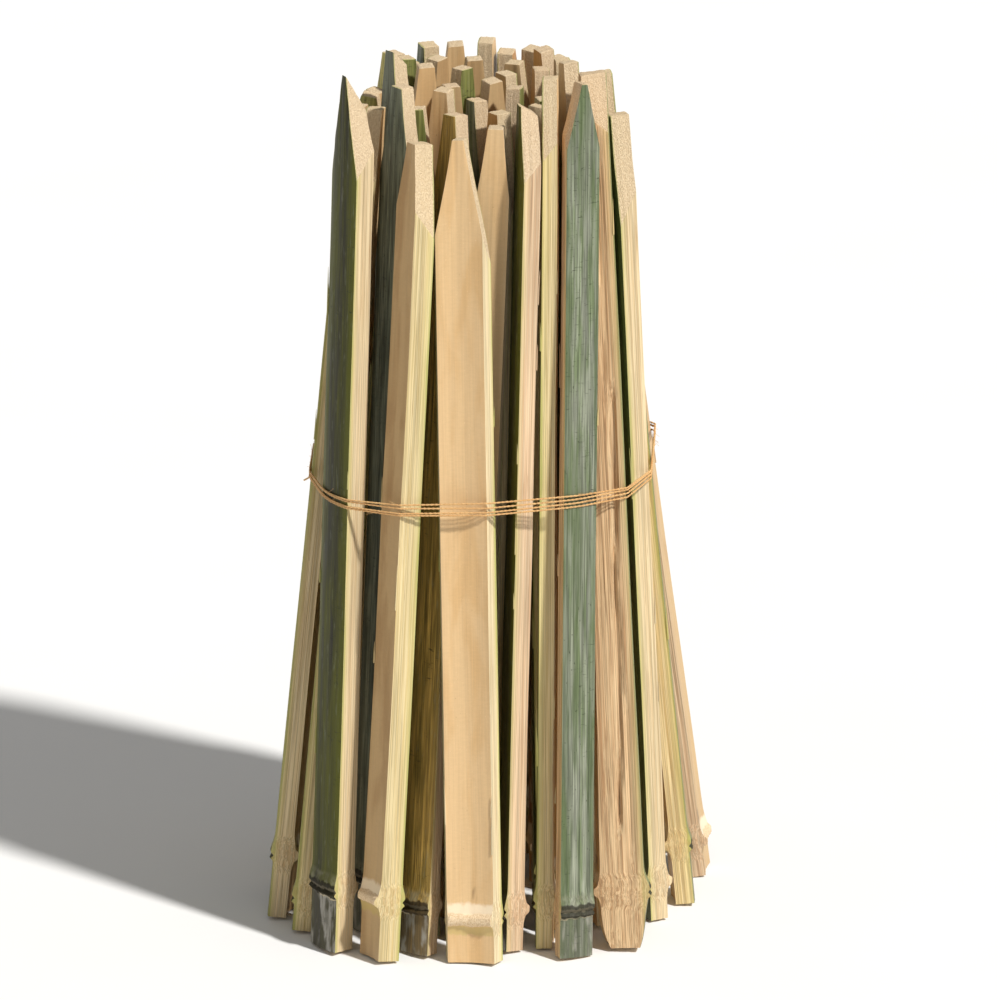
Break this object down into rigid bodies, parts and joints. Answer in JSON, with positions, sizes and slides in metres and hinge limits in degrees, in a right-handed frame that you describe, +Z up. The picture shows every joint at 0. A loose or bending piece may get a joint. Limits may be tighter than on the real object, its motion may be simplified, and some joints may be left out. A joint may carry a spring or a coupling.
{
  "type": "bundle of split bamboo stakes",
  "caption": "Free-standing flared bundle of pointed split-bamboo stakes standing on their node ends, tied at mid-height with thin twine.",
  "frame": {"origin": "middle of the base, on the ground under the stakes' feet", "axes": "+Z up along the bundle, towards the points; -Y is the front seen in the picture, +X to its right"},
  "size_m": [0.2331, 0.2317, 0.465],
  "materials": {
    "bamboo": "raw split bamboo: pale tan pith, cream fibrous split faces, waxy green bark",
    "bamboo_core": "raw split bamboo: pale tan pith, cream fibrous split faces, waxy green bark",
    "twine": "two-ply natural twine, dull, a little hairy"
  },
  "bodies": {
    "bundle": {"middle_stake_01": "bamboo", "middle_stake_02": "bamboo", "middle_stake_03": "bamboo", "middle_stake_04": "bamboo", "middle_stake_05": "bamboo", "middle_stake_06": "bamboo", "middle_stake_07": "bamboo", "middle_stake_08": "bamboo", "middle_stake_09": "bamboo", "middle_stake_10": "bamboo", "middle_stake_11": "bamboo", "middle_stake_12": "bamboo", "middle_stake_13": "bamboo", "middle_stake_14": "bamboo", "middle_stake_15": "bamboo", "middle_stake_16": "bamboo", "middle_stake_17": "bamboo", "outer_stake_01": "bamboo", "outer_stake_02": "bamboo", "outer_stake_03": "bamboo", "outer_stake_04": "bamboo", "outer_stake_05": "bamboo", "outer_stake_06": "bamboo", "outer_stake_07": "bamboo", "outer_stake_08": "bamboo", "outer_stake_09": "bamboo", "outer_stake_10": "bamboo", "outer_stake_11": "bamboo", "outer_stake_12": "bamboo", "outer_stake_13": "bamboo", "outer_stake_14": "bamboo", "outer_stake_15": "bamboo", "outer_stake_16": "bamboo", "outer_stake_17": "bamboo", "outer_stake_18": "bamboo", "outer_stake_19": "bamboo", "outer_stake_20": "bamboo", "outer_stake_21": "bamboo", "outer_stake_22": "bamboo", "outer_stake_23": "bamboo", "outer_stake_24": "bamboo"},
    "tie": {"binding_twine": "twine"},
    "core_stake_01_body": {"core_stake_01": "bamboo_core"},
    "core_stake_02_body": {"core_stake_02": "bamboo_core"},
    "core_stake_03_body": {"core_stake_03": "bamboo_core"},
    "core_stake_04_body": {"core_stake_04": "bamboo_core"},
    "core_stake_05_body": {"core_stake_05": "bamboo_core"},
    "core_stake_06_body": {"core_stake_06": "bamboo_core"},
    "core_stake_07_body": {"core_stake_07": "bamboo_core"}
  },
  "joints": [
    {"name": "twine_slip_off", "type": "slide", "parent": "bundle", "child": "tie", "axis": [0, 0, 1], "range_m": [0, 0.25]},
    {"name": "core_stake_01_lift", "type": "slide", "parent": "bundle", "child": "core_stake_01_body", "axis": [0, 0, 1], "range_m": [0, 0.475]},
    {"name": "core_stake_02_lift", "type": "slide", "parent": "bundle", "child": "core_stake_02_body", "axis": [0, 0, 1], "range_m": [0, 0.475]},
    {"name": "core_stake_03_lift", "type": "slide", "parent": "bundle", "child": "core_stake_03_body", "axis": [0, 0, 1], "range_m": [0, 0.475]},
    {"name": "core_stake_04_lift", "type": "slide", "parent": "bundle", "child": "core_stake_04_body", "axis": [0, 0, 1], "range_m": [0, 0.475]},
    {"name": "core_stake_05_lift", "type": "slide", "parent": "bundle", "child": "core_stake_05_body", "axis": [0, 0, 1], "range_m": [0, 0.475]},
    {"name": "core_stake_06_lift", "type": "slide", "parent": "bundle", "child": "core_stake_06_body", "axis": [0, 0, 1], "range_m": [0, 0.475]},
    {"name": "core_stake_07_lift", "type": "slide", "parent": "bundle", "child": "core_stake_07_body", "axis": [0, 0, 1], "range_m": [0, 0.475]}
  ]
}
